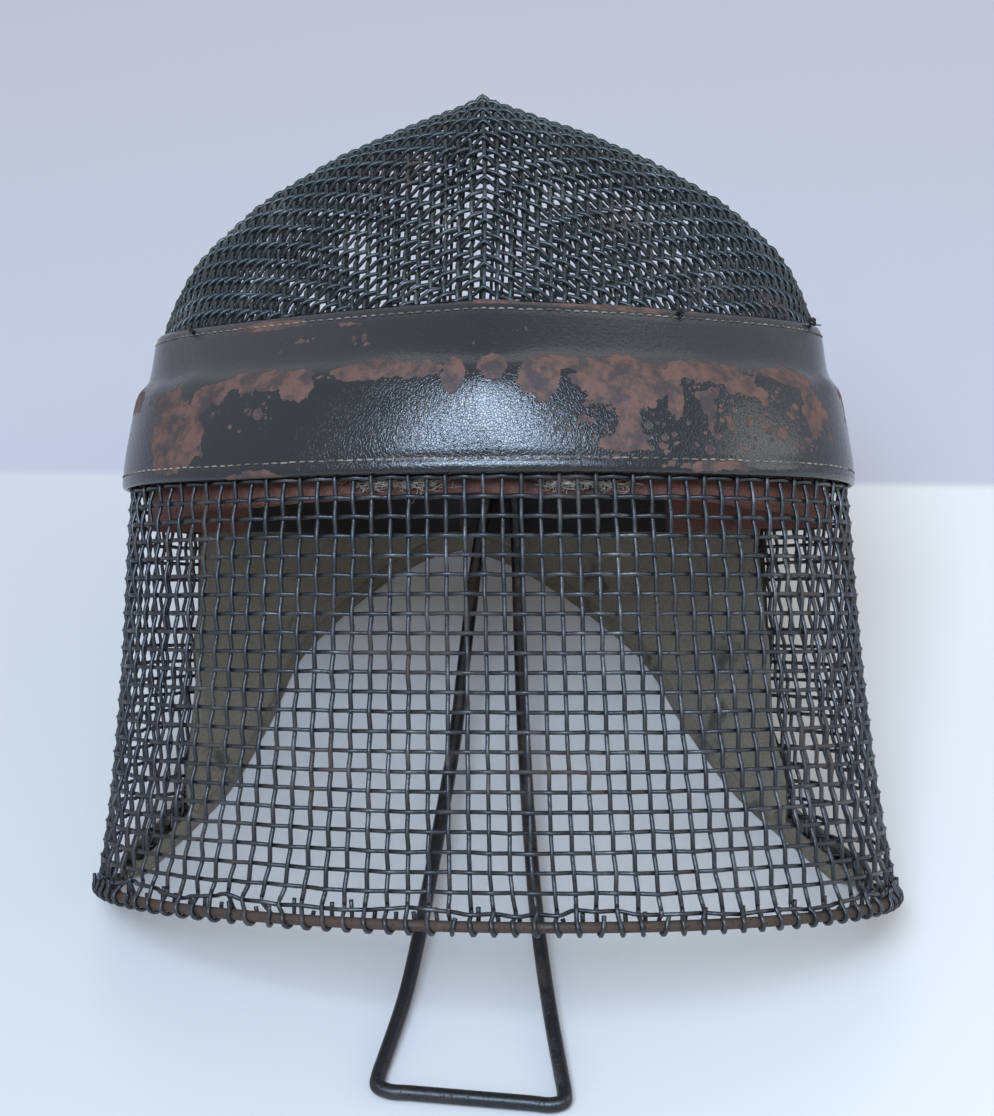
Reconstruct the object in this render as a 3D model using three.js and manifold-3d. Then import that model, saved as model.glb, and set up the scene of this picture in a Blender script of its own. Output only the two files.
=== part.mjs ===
import * as THREE from 'three';
import Module from 'manifold-3d';
import { mergeVertices } from 'three/addons/utils/BufferGeometryUtils.js';

// Fencing mask of woven steel wire with a leather band, leaning back as it lies on a table.
// All lengths are millimetres and all angles are degrees.
//
// The mask is drawn in a frame of its own: x runs across the face, y runs back from the
// front of the rim, z rises from the plane of the rim. A place on its skin is given by a
// turn and a height. Turn 0 is the middle of the face, 90 is the widest place at the side,
// 180 is the middle of the back, and negative turns lie on the other side. The skin is the
// outer face of the woven wire of the face, and every layer is set off from it.

const RECLINE = 42.6;          // slope of the flat opening, which lies on the table
const OPENING_START = 88.3;    // depth where the plane of the opening meets the rim plane
const LEAN = 0.02;             // sideways drift of the tall crown for each mm of height
const FRONT_DRIFT = 0.1;       // sideways drift of the front, for each mm before the widest place
const BACK_DRIFT = -0.16;      // and of the back, for each mm behind it: the mask is a little askew
const GAP = 0.3;               // air between pieces that touch
const LOOSE = 0.6;             // air under a layer whose facets don't line up with the wall's
const PRESS = 0.3;             // depth of the flat worn under the bar of the spring

const FACE_WALL = 2.4;         // two crossed wires of the face mesh
const CROWN_WALL = 2.0;        // two crossed wires of the finer crown mesh
const LEATHER = 1.5;           // band and sweatband
const THIN_LEATHER = 1.2;      // lining and binding

const RIM_RADIUS = 1.45;       // wire that the face mesh is wrapped round
const RIM_END = 104;           // turn where the rim wire stops and the binding begins
const BINDING_START = 106;     // turn of the first end of the binding
const FACE_BOTTOM = 1;         // lower edge of the face mesh above the rim plane
const FACE_TOP = 140;          // seam height, upper edge of the face mesh
const CROWN_BOTTOM = 122;      // the crown laps inside the face mesh from here up

const BAND = { bottom: 115, step: 142.5, shoulder: 147, top: 163 };
const SWEATBAND = { front: 111, side: 103.8, back: 107.3, top: 158, fall: 1.5 };
const BINDING = { outside: 7, inside: 3.2, below: 1.5, slack: 1.2, bevel: { rise: 0.6, out: 0.4 } };
const LINING = { startTurn: 118, top: 120.5, slack: 1.6 };

const SPRING_RADIUS = 2.1;     // round rod of the head spring
const ROD_SIDES = 8;
const RIM_STEPS = 52;
const SPRING_STEPS = 110;
const PLATE = { width: 12.4, thickness: 1.2, height: 18, behind: 186, bottom: 119 };

// Level sections of the skin, from the rim to the crown's peak. The section is widest at
// the depth named there. The keel runs from 0, a round front, to 1, a straight-sided bow,
// and the taper is the power that narrows the back, more pointed as it grows.
const LEVELS = [
  { height: 0, halfWidth: 116.7, front: 0, widest: 76, rear: 160, keel: 0, taper: 1.44 },
  { height: 20, halfWidth: 113.3, front: 1.8, widest: 76, rear: 165, keel: 0, taper: 1.44 },
  { height: 45, halfWidth: 110.3, front: 3.6, widest: 76, rear: 185, keel: 0, taper: 1.35 },
  { height: 70, halfWidth: 108.1, front: 5.5, widest: 76, rear: 202.5, keel: 0, taper: 1.25 },
  { height: 115, halfWidth: 105.5, front: 9, widest: 78, rear: 203, keel: 0, taper: 1.25 },
  { height: 140, halfWidth: 102.6, front: 11, widest: 83, rear: 203.5, keel: 0.15, taper: 1 },
  { height: 163, halfWidth: 100.9, front: 19.8, widest: 90, rear: 201, keel: 0.4, taper: 0.95 },
  { height: 182, halfWidth: 95.3, front: 31, widest: 97, rear: 192, keel: 0.6, taper: 0.92 },
  { height: 201, halfWidth: 79.1, front: 42.4, widest: 100, rear: 178, keel: 0.65, taper: 0.9 },
  { height: 219.3, halfWidth: 50.3, front: 55, widest: 100, rear: 160, keel: 0.65, taper: 0.9 },
  { height: 230.2, halfWidth: 24.1, front: 68, widest: 100, rear: 144, keel: 0.65, taper: 0.9 },
  { height: 235.4, halfWidth: 6, front: 79, widest: 100, rear: 125, keel: 0.65, taper: 0.9 },
  { height: 237.9, halfWidth: 0, front: 100, widest: 100, rear: 100, keel: 0.65, taper: 0.9 },
];
const PEAK = LEVELS[LEVELS.length - 1].height;
const BACK_POWER = 1.6;        // roundness of the back, as the power that its depth follows

// Run of the spring's two legs from the plate at the back down to the feet.
const LEGS = [
  { depth: 183.4, height: 136, left: -10.2, right: -2.3 },
  { depth: 183.2, height: 127, left: -10.4, right: -2.1 },
  { depth: 178.4, height: 117.8, left: -10.8, right: -1.4 },
  { depth: 164.6, height: 102, left: -12.3, right: 0.5 },
  { depth: 138, height: 70.3, left: -13.6, right: 3.7 },
  { depth: 111.4, height: 39.6, left: -14.4, right: 7.1 },
  { depth: 87, height: 11.4, left: -16.8, right: 10.9 },
  { depth: 67.7, height: -10.8, left: -19, right: 14.6 },
  { depth: 51.7, height: -29.3, left: -21.7, right: 18.7 },
];
const FEET = { left: { x: -27.3, depth: 32.3 }, right: { x: 25.1, depth: 29.6 }, bend: 4 };

// Turns of the columns of facets round the mask: even in front, closer round the edge. The
// binding and the lining start on columns of their own.
const CREASE_TURN = 2.5;
const FRONT_STEP = 7.5;
const SIDE_TURNS = [97, 102, 106, 108, 113, 118, 124, 128, 131, 134, 137, 140, 144, 149, 155, 161, 167, 173];

const { sin, cos, tan, abs, min, max, sign, PI } = Math;
const radians = (degrees) => degrees * PI / 180;
const tilt = radians(RECLINE);
const DOWN = new THREE.Vector3(0, sin(tilt), -cos(tilt));

// Value of one column of a table at a place in another, on a smooth curve through the rows.
function read(rows, place, column, at) {
  const last = rows.length - 1;
  const secant = (i) => {
    const run = rows[i + 1][place] - rows[i][place];
    return (rows[i + 1][column] - rows[i][column]) / run;
  };
  const slope = (i) => {
    if (i === 0) return secant(0);
    if (i === last) return secant(last - 1);
    const before = secant(i - 1), after = secant(i);
    return before * after <= 0 ? 0 : 2 * before * after / (before + after);
  };
  const x = min(max(at, rows[0][place]), rows[last][place]);
  let i = 0;
  while (i < last - 1 && x > rows[i + 1][place]) i += 1;
  const run = rows[i + 1][place] - rows[i][place];
  const t = (x - rows[i][place]) / run;
  const ease = t * t * (3 - 2 * t);
  return rows[i][column] * (1 - ease) + rows[i + 1][column] * ease
    + run * t * (1 - t) * ((1 - t) * slope(i) - t * slope(i + 1));
}

function skin(turn, height) {
  const level = (column) => read(LEVELS, 'height', column, height);
  const s = sin(radians(abs(turn))), c = cos(radians(abs(turn)));
  const front = level('front'), widest = level('widest'), keel = level('keel');
  const point = new THREE.Vector3(0, 0, height);
  if (c >= 0) {
    point.x = level('halfWidth') * s;
    point.y = front + (widest - front) * (keel * s + (1 - keel) * (1 - c));
  } else {
    point.x = level('halfWidth') * max(s, 0) ** level('taper');
    point.y = widest + (level('rear') - widest) * (-c) ** BACK_POWER;
  }
  const drift = c >= 0 ? FRONT_DRIFT * (widest - point.y) : BACK_DRIFT * (point.y - widest);
  point.x = point.x * sign(turn) + drift - LEAN * height;
  return point;
}

function outward(turn, height) {
  const step = 0.5;
  if (height > PEAK - step) return new THREE.Vector3(0, 0, 1);
  const across = skin(turn + step, height).sub(skin(turn - step, height));
  if (abs(turn) > 180 - step) across.set(-1, 0, 0);
  const up = skin(turn, height + step).sub(skin(turn, height - step));
  return across.cross(up).normalize();
}

// A point at a turn and height, set off outwards from the skin.
const off = (turn, height, out) => skin(turn, height).addScaledVector(outward(turn, height), out);

// The opening is a flat cut, level with the rim in front and rising behind it.
const cutHeight = (depth) => max(FACE_BOTTOM, tan(tilt) * (depth - OPENING_START));

function edgeHeight(turn) {
  let low = FACE_BOTTOM, high = FACE_TOP;
  for (let step = 0; step < 30; step += 1) {
    const height = (low + high) / 2;
    if (height < cutHeight(skin(turn, height).y)) low = height; else high = height;
  }
  return low;
}

function columns(from, to) {
  const half = [];
  half.push(CREASE_TURN);
  for (let turn = FRONT_STEP; turn <= 90; turn += FRONT_STEP) half.push(turn);
  half.push(...SIDE_TURNS);
  const all = [...half.map((turn) => -turn).reverse(), 0, ...half, 180];
  return [from, ...all.filter((turn) => turn > from && turn < to), to];
}
const RING = columns(-180, 180).slice(1);

// Triangles that fill a loop of points, on the plane that fits it best.
function fill(loop) {
  const normal = new THREE.Vector3();
  loop.forEach((p, j) => normal.add(p.clone().cross(loop[(j + 1) % loop.length])));
  const across = loop[1].clone().sub(loop[0]).projectOnPlane(normal).normalize();
  const up = normal.normalize().cross(across);
  const flat = loop.map((p) => new THREE.Vector2(p.dot(across), p.dot(up)));
  return THREE.ShapeUtils.triangulateShape(flat, []);
}

// Closed body drawn between loops of points, joined end to end or capped at both ends.
function loft(loops, joined) {
  const count = loops[0].length;
  const corner = (i, j) => (i % loops.length) * count + (j % count);
  const index = [];
  const bays = joined ? loops.length : loops.length - 1;
  for (let i = 0; i < bays; i += 1) {
    for (let j = 0; j < count; j += 1) {
      index.push(corner(i, j), corner(i + 1, j), corner(i + 1, j + 1));
      index.push(corner(i, j), corner(i + 1, j + 1), corner(i, j + 1));
    }
  }
  if (!joined) {
    const last = loops.length - 1;
    for (const [a, b, c] of fill(loops[0])) index.push(corner(0, a), corner(0, b), corner(0, c));
    for (const [a, b, c] of fill(loops[last])) index.push(corner(last, c), corner(last, b), corner(last, a));
  }
  const geometry = new THREE.BufferGeometry();
  geometry.setAttribute('position', new THREE.Float32BufferAttribute(
    loops.flat().flatMap((p) => [p.x, p.y, p.z]), 3));
  geometry.setIndex(index);
  return tidy(geometry);
}

// Shared corners merged and facets without area left out.
function tidy(geometry) {
  for (const name of ['normal', 'uv']) geometry.deleteAttribute(name);
  const merged = mergeVertices(geometry, 1e-4);
  const index = Array.from(merged.index.array), kept = [];
  for (let i = 0; i < index.length; i += 3) {
    const [a, b, c] = index.slice(i, i + 3);
    if (a !== b && b !== c && c !== a) kept.push(a, b, c);
  }
  merged.setIndex(kept);
  return merged;
}

// Wall that follows the skin: for each column, its rows give heights with the offsets of
// the outer and the inner face.
function wall(turns, rowsAt, joined) {
  const loops = turns.map((turn) => {
    const rows = rowsAt(turn);
    const outer = rows.map((row) => off(turn, row.height, row.outer));
    const inner = rows.map((row) => off(turn, row.height, row.inner));
    return [...outer, ...inner.reverse()];
  });
  return loft(loops, joined);
}

// Heights of the rows of facets that the nested layers share where they lap.
const LAP_ROWS = [115, 122, 131, FACE_TOP, 147, 155, 163];
const CROWN_ROWS = [173, 184, 201, 219.3, 230.2, 235.4, PEAK];
const lapRows = (from, to) => LAP_ROWS.filter((height) => height > from + 1 && height < to - 1);

const spread = (from, to, steps) => Array.from({ length: steps + 1 }, (_, i) => from + (to - from) * i / steps);

// Rows between the binding's flap and the band, where the wall stands open.
const openRows = (turn) => spread(edgeHeight(turn) + BINDING.outside, BAND.bottom - 0.5, 4);

function faceMesh() {
  return wall(RING, (turn) => [edgeHeight(turn), ...openRows(turn), ...lapRows(LAP_ROWS[0], FACE_TOP), FACE_TOP]
    .map((height) => ({ height, outer: 0, inner: -FACE_WALL })), true);
}

const CROWN_OUT = -FACE_WALL - LOOSE;

function crownMesh() {
  const heights = [CROWN_BOTTOM, ...lapRows(CROWN_BOTTOM, PEAK), ...CROWN_ROWS];
  return wall(RING, () => heights.map((height) => (
    { height, outer: CROWN_OUT, inner: CROWN_OUT - CROWN_WALL })), true);
}

function foreheadBand() {
  const { bottom, step, shoulder, top } = BAND;
  const low = LOOSE, high = CROWN_OUT + LOOSE;
  const heights = [bottom, ...lapRows(bottom, step), step, shoulder, ...lapRows(shoulder, top), top];
  return wall(RING, () => heights.map((height) => {
    const inner = height > step ? high : low;
    return { height, outer: inner + LEATHER, inner };
  }), true);
}

function sweatband() {
  const { front, side, back, top, fall } = SWEATBAND;
  const outer = CROWN_OUT - CROWN_WALL - LOOSE;
  return wall(RING, (turn) => {
    const part = abs(turn) / 90;
    const bottom = part < 1 ? front + (side - front) * part ** fall : side + (back - side) * (part - 1);
    return [bottom, LAP_ROWS[0], ...lapRows(LAP_ROWS[0], top), top]
      .map((height) => ({ height, outer, inner: outer - LEATHER }));
  }, true);
}

function edgeLining() {
  const { startTurn, top, slack } = LINING;
  const outer = -FACE_WALL - slack;
  const turns = [...columns(startTurn, 180), ...columns(-180, -startTurn).slice(1)];
  return wall(turns, (turn) => [edgeHeight(turn) + BINDING.inside + LOOSE, ...openRows(turn), top]
    .map((height) => ({ height, outer, inner: outer - THIN_LEATHER })), false);
}

// Leather folded round the edge: a channel with a long outer flap and a short inner one.
function edgeBinding() {
  const turns = [...columns(BINDING_START, 180), ...columns(-180, -BINDING_START).slice(1)];
  const { outside, inside, below, slack, bevel } = BINDING;
  const outFace = slack, inFace = -FACE_WALL - slack;
  const loops = turns.map((turn) => {
    const edge = edgeHeight(turn);
    const at = (rise, out) => {
      const point = off(turn, edge + max(rise, 0), out);
      if (rise <= 0) point.z = cutHeight(point.y) + rise;
      return point;
    };
    return [
      at(-LOOSE, inFace), at(inside, inFace), at(inside, inFace - THIN_LEATHER),
      at(-below + bevel.rise, inFace - THIN_LEATHER), at(-below, inFace - bevel.out),
      at(-below, outFace + bevel.out), at(-below + bevel.rise, outFace + THIN_LEATHER),
      at(outside, outFace + THIN_LEATHER), at(outside, outFace), at(-LOOSE, outFace),
    ];
  });
  return loft(loops, false);
}

const round = (radius, sides) => new THREE.Shape(spread(0, 1, sides).slice(0, sides)
  .map((part) => new THREE.Vector2(radius * cos(2 * PI * part), radius * sin(2 * PI * part))));

function rod(points, radius, steps) {
  const path = new THREE.CatmullRomCurve3(points, false, 'centripetal');
  return tidy(new THREE.ExtrudeGeometry(round(radius, ROD_SIDES), { steps, extrudePath: path }));
}

function rimWire() {
  const drop = -RIM_RADIUS - GAP;
  const points = spread(-RIM_END, RIM_END, 24)
    .map((turn) => off(turn, 1, -FACE_WALL / 2).add(new THREE.Vector3(0, 0, drop)));
  return rod(points, RIM_RADIUS, RIM_STEPS);
}

// The bar of the spring reaches down to the floor that the binding lies on.
function headSpring(floor) {
  const foot = ({ x, depth }) => {
    const fall = floor + PRESS - SPRING_RADIUS;
    return new THREE.Vector3(x, depth, (depth * DOWN.y - fall) / -DOWN.z);
  };
  const leg = (side) => LEGS.map((row) => new THREE.Vector3(row[side], row.depth, row.height));
  const left = foot(FEET.left), right = foot(FEET.right);
  const bar = right.clone().sub(left).normalize();
  const bend = (corner, legEnd, along) => {
    const up = legEnd.clone().sub(corner).normalize();
    return [2.5, 1, 0.35].map((part) => corner.clone().addScaledVector(up, FEET.bend * part)
      .addScaledVector(along, part < 1 ? FEET.bend * 0.15 : 0))
      .concat([1, 2.5].map((part) => corner.clone().addScaledVector(along, FEET.bend * part)));
  };
  const leftLeg = leg('left'), rightLeg = leg('right').reverse();
  const points = [
    ...leftLeg, ...bend(left, leftLeg[leftLeg.length - 1], bar),
    ...bend(right, rightLeg[0], bar.clone().negate()).reverse(), ...rightLeg,
  ];
  return rod(points, SPRING_RADIUS, SPRING_STEPS);
}

function springPlate() {
  const { width, thickness, height, behind, bottom } = PLATE;
  const middle = (LEGS[0].left + LEGS[0].right) / 2;
  return new THREE.BoxGeometry(width, thickness, height)
    .translate(middle, behind + thickness / 2, bottom + height / 2);
}

const wasm = await Module();
wasm.setup();

function solid(geometry) {
  const mesh = tidy(geometry);
  return new wasm.Manifold(new wasm.Mesh({
    numProp: 3,
    vertProperties: new Float32Array(mesh.attributes.position.array),
    triVerts: new Uint32Array(mesh.index.array),
  }));
}

// What is left of a body above the floor.
function flattened(geometry, floor) {
  const deep = 40;
  const ground = new THREE.BoxGeometry(600, 600, deep).rotateX(tilt)
    .translate(0, DOWN.y * (floor + deep / 2), DOWN.z * (floor + deep / 2));
  const kept = solid(geometry).subtract(solid(ground)).getMesh();
  const result = new THREE.BufferGeometry();
  result.setAttribute('position', new THREE.BufferAttribute(new Float32Array(kept.vertProperties), 3));
  result.setIndex(new THREE.BufferAttribute(new Uint32Array(kept.triVerts), 1));
  return result;
}

function reach(geometry) {
  const places = geometry.attributes.position, corner = new THREE.Vector3();
  let deepest = -Infinity;
  for (let i = 0; i < places.count; i += 1) {
    deepest = max(deepest, corner.fromBufferAttribute(places, i).dot(DOWN));
  }
  return deepest;
}

const COLOURS = {
  wire: { color: 0x4a4a48, roughness: 0.45, metalness: 0.9 },
  crownWire: { color: 0x474d4f, roughness: 0.5, metalness: 0.85 },
  steel: { color: 0x6f6d6a, roughness: 0.35, metalness: 1 },
  patentLeather: { color: 0x15161a, roughness: 0.3, metalness: 0 },
  brownLeather: { color: 0x6b3f33, roughness: 0.75, metalness: 0 },
  oliveLeather: { color: 0x6e6350, roughness: 0.85, metalness: 0 },
  darkLeather: { color: 0x2c2622, roughness: 0.8, metalness: 0 },
};

const mask = new THREE.Group();
function piece(name, geometry, finish) {
  geometry.computeVertexNormals();
  const mesh = new THREE.Mesh(geometry, new THREE.MeshStandardMaterial(finish));
  mesh.name = name;
  mask.add(mesh);
}

const binding = edgeBinding();
const floor = reach(binding);

piece('face_mesh', faceMesh(), COLOURS.wire);
piece('crown_mesh', crownMesh(), COLOURS.crownWire);
piece('rim_wire', rimWire(), COLOURS.steel);
piece('forehead_band', foreheadBand(), COLOURS.patentLeather);
piece('sweatband', sweatband(), COLOURS.brownLeather);
piece('edge_lining', edgeLining(), COLOURS.oliveLeather);
piece('edge_binding', binding, COLOURS.darkLeather);
piece('head_spring', flattened(headSpring(floor), floor), COLOURS.steel);
piece('spring_plate', springPlate(), COLOURS.steel);

// Lean the mask back on to its two resting places, with the middle of its box at the origin.
mask.rotation.x = -tilt;
mask.position.z = floor;
mask.updateMatrixWorld(true);
const middle = new THREE.Box3().setFromObject(mask, true).getCenter(new THREE.Vector3());
mask.position.x -= middle.x;
mask.position.y -= middle.y;

const part = new THREE.Group();
part.add(mask);
part.updateMatrixWorld(true);

export default part;
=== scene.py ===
# %% [markdown]
# # A fencing mask of woven wire
#
# The mask is an old one. Its face is a cage of crossed steel wires, its crown a finer weave
# with a crease down the middle, and a band of black lacquered leather hides the seam between
# the two. A U of steel rod, the head spring, hangs down from the back inside. The mask lies
# on its flat opening, so its face is raised and looks up at an angle.
#
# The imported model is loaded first. It fixes every size and place, and all that follows is
# drawn around it.

import bpy
import numpy as np
from mathutils import Matrix, Vector


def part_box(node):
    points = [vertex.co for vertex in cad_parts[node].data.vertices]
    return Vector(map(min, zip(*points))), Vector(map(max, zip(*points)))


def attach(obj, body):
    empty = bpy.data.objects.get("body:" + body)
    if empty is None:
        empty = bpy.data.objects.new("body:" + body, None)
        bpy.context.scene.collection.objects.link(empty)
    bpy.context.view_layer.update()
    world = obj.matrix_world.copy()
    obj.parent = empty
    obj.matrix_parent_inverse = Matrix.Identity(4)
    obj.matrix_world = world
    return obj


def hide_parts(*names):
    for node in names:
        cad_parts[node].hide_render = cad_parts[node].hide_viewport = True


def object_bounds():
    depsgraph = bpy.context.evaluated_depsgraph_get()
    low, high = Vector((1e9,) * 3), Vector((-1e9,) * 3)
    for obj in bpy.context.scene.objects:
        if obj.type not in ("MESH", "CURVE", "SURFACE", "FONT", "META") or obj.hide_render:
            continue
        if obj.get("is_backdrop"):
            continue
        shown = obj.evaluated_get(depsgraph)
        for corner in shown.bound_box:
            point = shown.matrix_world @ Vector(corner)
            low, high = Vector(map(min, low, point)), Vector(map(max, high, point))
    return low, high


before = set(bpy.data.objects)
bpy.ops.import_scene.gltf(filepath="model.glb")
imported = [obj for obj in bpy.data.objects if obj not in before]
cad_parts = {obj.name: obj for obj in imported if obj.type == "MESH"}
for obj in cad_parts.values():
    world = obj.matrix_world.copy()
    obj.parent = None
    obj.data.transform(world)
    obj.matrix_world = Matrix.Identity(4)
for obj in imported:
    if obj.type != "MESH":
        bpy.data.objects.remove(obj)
cad_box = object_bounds()
print("box of the model in metres:", [tuple(round(v, 4) for v in corner) for corner in cad_box])

# %% [markdown]
# ## The skin of the mask
#
# A mask is shaped over a wooden form, so all its layers follow one surface. That surface is
# drawn in a frame of its own, in millimetres: x across the face, y back from the front of
# the rim, z up from the plane of the rim. A table of level sections holds the form, and a
# smooth curve through the rows gives the sections between. A place on the skin is a turn
# and a height: turn 0 is the middle of the face, 90 the side, 180 the middle of the back.

# %% Level sections of the form
RECLINE = np.radians(42.6)     # slope of the flat opening that the mask lies on
OPENING_START = 88.3           # depth where the opening meets the plane of the rim
LEAN = 0.02                    # sideways drift of the crown for each millimetre of height
FRONT_DRIFT = 0.1              # the mask is a little askew: drift of the front for each
BACK_DRIFT = -0.16             # millimetre before the widest place, and of the back behind it
BACK_POWER = 1.6               # roundness of the back
LOWEST_EDGE = 1.0              # height of the cut edge round the front
FACE_TOP = 140.0               # height where the face mesh ends, under the band
FACE_WALL = 2.4                # thickness of the model's face mesh

COLUMNS = ("height", "half_width", "front", "widest", "rear", "keel", "taper")
LEVELS = np.array([
    (0, 116.7, 0, 76, 160, 0, 1.44),
    (20, 113.3, 1.8, 76, 165, 0, 1.44),
    (45, 110.3, 3.6, 76, 185, 0, 1.35),
    (70, 108.1, 5.5, 76, 202.5, 0, 1.25),
    (115, 105.5, 9, 78, 203, 0, 1.25),
    (140, 102.6, 11, 83, 203.5, 0.15, 1),
    (163, 100.9, 19.8, 90, 201, 0.4, 0.95),
    (182, 95.3, 31, 97, 192, 0.6, 0.92),
    (201, 79.1, 42.4, 100, 178, 0.65, 0.9),
    (219.3, 50.3, 55, 100, 160, 0.65, 0.9),
    (230.2, 24.1, 68, 100, 144, 0.65, 0.9),
    (235.4, 6, 79, 100, 125, 0.65, 0.9),
    (237.9, 0, 100, 100, 100, 0.65, 0.9),
])
PEAK = LEVELS[-1, 0]


def through_rows(rows, column, at):
    """Value of a column at a place in the first column, on a smooth curve through the rows."""
    place, value = rows[:, 0], rows[:, column]
    run = np.diff(place)
    rise = np.diff(value) / run
    slope = np.concatenate([rise[:1], np.zeros(len(rise) - 1), rise[-1:]])
    same = rise[:-1] * rise[1:] > 0
    slope[1:-1][same] = (2 * rise[:-1] * rise[1:])[same] / (rise[:-1] + rise[1:])[same]
    at = np.clip(at, place[0], place[-1])
    i = np.clip(np.searchsorted(place, at, side="right") - 1, 0, len(run) - 1)
    t = (at - place[i]) / run[i]
    ease = t * t * (3 - 2 * t)
    bend = run[i] * t * (1 - t) * ((1 - t) * slope[i] - t * slope[i + 1])
    return value[i] * (1 - ease) + value[i + 1] * ease + bend


def level(name, height):
    return through_rows(LEVELS, COLUMNS.index(name), np.asarray(height, float))


def askew(depth, height):
    """Sideways drift of the skin at a depth and height."""
    behind = depth - level("widest", height)
    return BACK_DRIFT * np.maximum(behind, 0) + FRONT_DRIFT * np.maximum(-behind, 0) - LEAN * height


def skin(turn, height):
    """Points of the skin at turns in degrees and heights in millimetres."""
    turn, height = np.broadcast_arrays(np.asarray(turn, float), np.asarray(height, float))
    angle = np.radians(np.abs(turn))
    s, c = np.maximum(np.sin(angle), 0), np.cos(angle)
    half_width, front, widest, keel = (level(n, height) for n in ("half_width", "front", "widest", "keel"))
    before = front + (widest - front) * (keel * s + (1 - keel) * (1 - c))
    behind = widest + (level("rear", height) - widest) * np.maximum(-c, 0) ** BACK_POWER
    x = half_width * np.where(c >= 0, s, s ** level("taper", height)) * np.sign(turn)
    depth = np.where(c >= 0, before, behind)
    return np.stack([x + askew(depth, height), depth, height], -1)


def unit(vectors):
    return vectors / np.maximum(np.linalg.norm(vectors, axis=-1, keepdims=True), 1e-9)


def outward(turn, height, step=0.5):
    """Directions that point away from the skin."""
    turn, height = np.asarray(turn, float), np.minimum(height, PEAK - 2 * step)
    across = skin(turn + step, height) - skin(turn - step, height)
    across = np.where(np.abs(turn)[..., None] > 180 - step, [-1.0, 0, 0], across)
    return unit(np.cross(across, skin(turn, height + step) - skin(turn, height - step)))


def off(turn, height, out):
    """Points set off from the skin along its outward direction."""
    return skin(turn, height) + outward(turn, height) * np.asarray(out, float)[..., None]


def cut_height(depth):
    return np.maximum(LOWEST_EDGE, np.tan(RECLINE) * (depth - OPENING_START))


def edge_height(turn):
    """Height of the cut edge of the opening at each turn."""
    low, high = np.full(np.shape(turn), LOWEST_EDGE), np.full(np.shape(turn), FACE_TOP)
    for _ in range(30):
        half = (low + high) / 2
        below = half < cut_height(skin(turn, half)[..., 1])
        low, high = np.where(below, half, low), np.where(below, high, half)
    return low


print("the edge of the opening rises to", round(float(edge_height(180.0)), 1), "mm at the back")

# %% [markdown]
# ## Laying the mask down
#
# The model lies on its opening, so each point is turned about the x axis by the slope of
# the opening and then shifted. The shift isn't a number to remember: it is found by
# matching the box of the drawn skin to the box of the model's face mesh.

# %% From the mask's own frame to the model's
MM = 0.001
TURNING = np.array([
    [1, 0, 0],
    [0, np.cos(RECLINE), np.sin(RECLINE)],
    [0, -np.sin(RECLINE), np.cos(RECLINE)],
])


def face_shell():
    turns = np.arange(-180.0, 180.0, 1.0)
    edge = edge_height(turns)
    heights = [edge + (FACE_TOP - edge) * part for part in np.linspace(0, 1, 30)]
    return np.concatenate([off(turns, h, out) for h in heights for out in (0 * turns, 0 * turns - FACE_WALL)])


def middle_and_size(low, high):
    return (np.array(low) + np.array(high)) / 2, np.array(high) - np.array(low)


shell = face_shell() @ TURNING.T
own_middle, own_size = middle_and_size(shell.min(0), shell.max(0))
model_middle, model_size = middle_and_size(*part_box("face_mesh"))
SHIFT = model_middle / MM - own_middle
print("shift in mm:", SHIFT.round(2), "- the sizes differ by", (model_size / MM - own_size).round(2))


def laid(points):
    """Points of the mask's own frame, in the model's frame and in metres."""
    return (np.asarray(points, float) @ TURNING.T + SHIFT) * MM


# %% [markdown]
# ## The camera
#
# The camera looks at the raised face almost square on, so it is placed in the mask's own
# frame: half a metre in front of the rim and level with a point 80 mm above it. Its long
# lens keeps the sides of the cage from spreading.

# %% Camera
VIEW_FROM = np.array([55.9, -498.6, 80.0])
VIEW_YAW = -0.0937             # how far the view drifts to the right for each step forward
VIEW_RISE = np.radians(1.47)
LENS = 63.55

forward = unit(np.array([VIEW_YAW, 1.0, 0.0])) * np.cos(VIEW_RISE) + [0, 0, np.sin(VIEW_RISE)]
right = unit(np.cross(forward, [0, 0, 1.0]))
look = np.stack([right, np.cross(right, forward), -forward], 1)
camera = bpy.data.objects.new("camera", bpy.data.cameras.new("camera"))
bpy.context.scene.collection.objects.link(camera)
camera.matrix_world = Matrix.Translation(laid(VIEW_FROM)) @ Matrix((TURNING @ look).tolist()).to_4x4()
camera.data.lens = LENS
camera.data.sensor_width = 36.0
camera.data.clip_start = 0.01
bpy.context.scene.camera = camera
print("camera stands", round(camera.location.z, 3), "m above the floor")

# %% [markdown]
# ## From points to meshes
#
# Wires, threads, hairs and rods are all one thing: a round section drawn along a path. One
# function sweeps any number of paths into a single mesh. At each point it needs a
# direction that isn't along the path, which is the outward direction of the skin. Shells
# such as the leather bands are a closed outline drawn round the mask in the same way.

# %% Helpers that make meshes
def add_piece(name, points, faces, slot, replaces=()):
    """A mesh object in the model's frame that rides on the mask; the slot argument is not used."""
    mesh = bpy.data.meshes.new(name)
    mesh.from_pydata(laid(points).tolist(), [], faces)
    mesh.validate()
    mesh.polygons.foreach_set("use_smooth", [True] * len(mesh.polygons))
    piece = bpy.data.objects.new(name, mesh)
    bpy.context.scene.collection.objects.link(piece)
    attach(piece, "root")
    if replaces:
        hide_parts(*replaces)
    corners = sum(len(p.vertices) - 2 for p in mesh.polygons)
    print(f"{name}: {corners} triangles")
    return piece


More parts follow.
